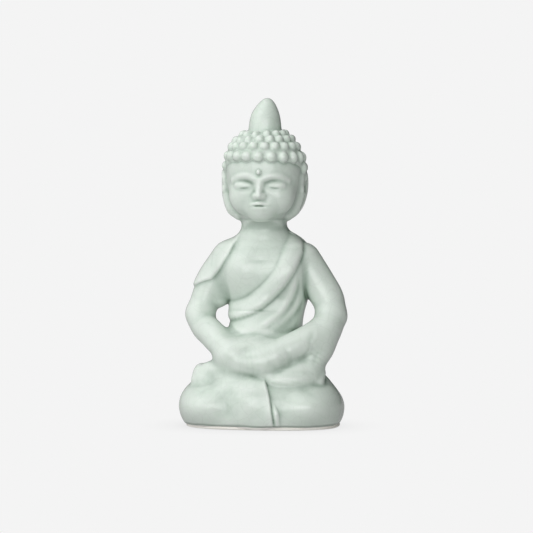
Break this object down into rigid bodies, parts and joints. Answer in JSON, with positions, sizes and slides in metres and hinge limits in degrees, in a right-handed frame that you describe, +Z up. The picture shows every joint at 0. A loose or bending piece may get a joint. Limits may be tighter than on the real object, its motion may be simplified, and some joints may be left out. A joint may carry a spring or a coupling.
{
  "type": "seated meditating figurine",
  "caption": "Small free-standing seated meditating figure in glossy pale celadon glazed ceramic, with curled hair, a draped robe and hands folded in the lap.",
  "frame": {"origin": "middle of the footprint, on the surface that the figurine stands on", "axes": "+Z up, -Y is where the figure faces, +X is the figure's left hand"},
  "size_m": [0.0854, 0.059, 0.17],
  "materials": {
    "celadon_body": "glossy celadon glaze, pooled darker in the creases",
    "celadon_head": "glossy celadon glaze, pooled darker in the creases",
    "celadon_hair": "glossy celadon glaze, thin and pale on the tops of the curls",
    "celadon_robe": "glossy celadon glaze, pooled darker in the folds",
    "bisque": "bare wiped clay, matt"
  },
  "bodies": {
    "root": {"base_floor": "bisque", "lap_shell": "celadon_body", "torso_shell": "celadon_body", "neck": "celadon_head", "head_shell": "celadon_head", "forehead_dot": "celadon_head", "left_ear": "celadon_head", "right_ear": "celadon_head", "topknot": "celadon_hair", "hair_curls": "celadon_hair", "right_upper_arm": "celadon_body", "left_upper_sleeve": "celadon_robe", "right_forearm": "celadon_body", "left_forearm_sleeve": "celadon_robe", "right_hand": "celadon_body", "left_hand": "celadon_body", "hanging_sleeve": "celadon_robe", "shoulder_cape": "celadon_robe", "robe_sash": "celadon_robe", "left_foot": "celadon_body", "right_foot": "celadon_body", "robe_fold": "celadon_robe"}
  },
  "joints": []
}
